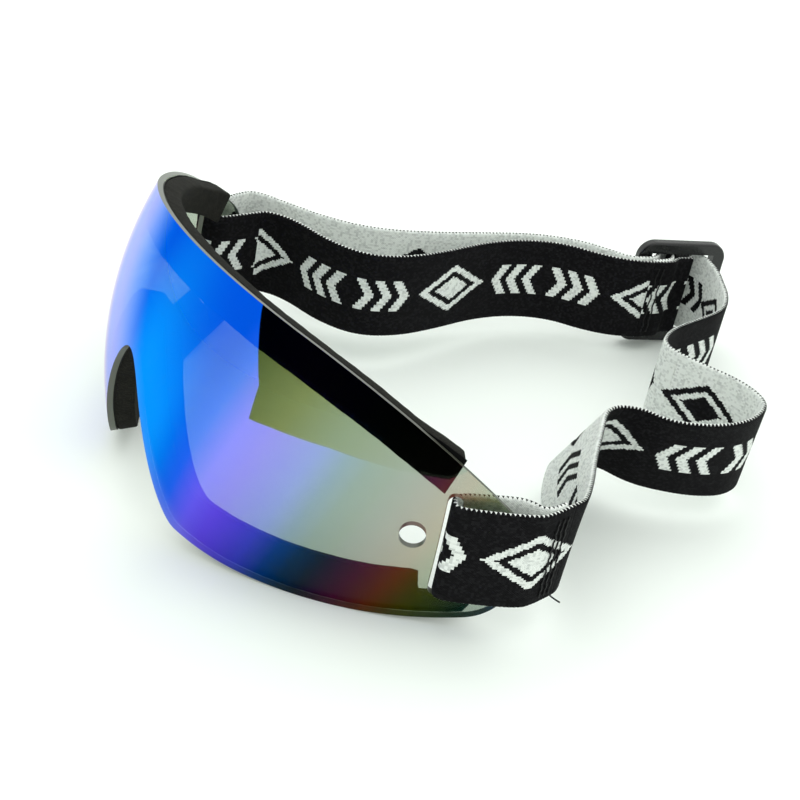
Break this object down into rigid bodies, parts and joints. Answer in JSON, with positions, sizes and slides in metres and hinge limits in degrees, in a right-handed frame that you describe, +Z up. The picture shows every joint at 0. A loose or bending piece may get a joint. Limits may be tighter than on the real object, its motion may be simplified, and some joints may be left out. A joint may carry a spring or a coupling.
{
  "type": "jockey goggles",
  "caption": "Wrapped one-piece mirrored lens with foam on its inner face and a woven elastic strap that passes through a slot at each end and adjusts on a slider.",
  "frame": {"origin": "middle of the bounding box on the surface the goggles lie on", "axes": "+X to the wearer's left, +Y from the lens back towards the strap's slider, +Z up"},
  "size_m": [0.1588, 0.1932, 0.0715],
  "materials": {
    "lens": "clear moulded sheet with a blue mirror coating over a smoke tint",
    "foam": "fine open-cell foam, matt",
    "foam_tape": "thin adhesive film",
    "strap": "jacquard-woven elastic, black and off-white",
    "slider": "moulded, glossy",
    "thread": "lockstitched polyester thread"
  },
  "bodies": {
    "goggles": {"lens": "lens", "brow_foam_tape": "foam_tape", "brow_foam": "foam", "nose_foam_tape": "foam_tape", "nose_foam": "foam", "folded_strap": "strap"},
    "near_loop": {"near_strap_loop": "strap", "near_seam_row_1": "thread", "near_seam_row_2": "thread", "near_seam_row_3": "thread"},
    "far_strap": {"far_strap_loop": "strap", "inner_strap_run": "strap", "outer_strap_run": "strap"},
    "slider": {"slider_frame": "slider", "slider_bar_wrap": "strap", "slider_threaded_strap": "strap", "slider_seam_row_1": "thread", "slider_seam_row_2": "thread"}
  },
  "joints": [
    {"name": "near_loop_swing", "type": "hinge", "parent": "goggles", "child": "near_loop", "pos_m": [0.06849, -0.0492, 0.02391], "axis": [0, 0.0527, 0.9986], "range_deg": [-2, 2], "deforming": ["folded_strap"]},
    {"name": "far_strap_swing", "type": "hinge", "parent": "goggles", "child": "far_strap", "pos_m": [-0.06847, -0.0492, 0.02391], "axis": [0, 0.0527, 0.9986], "range_deg": [-2, 5], "deforming": ["folded_strap"]},
    {"name": "slider_slide", "type": "slide", "parent": "far_strap", "child": "slider", "axis": [0.2419, 0.9689, -0.0511], "range_m": [-0.008, 0.008], "deforming": ["folded_strap", "inner_strap_run", "outer_strap_run"]}
  ]
}
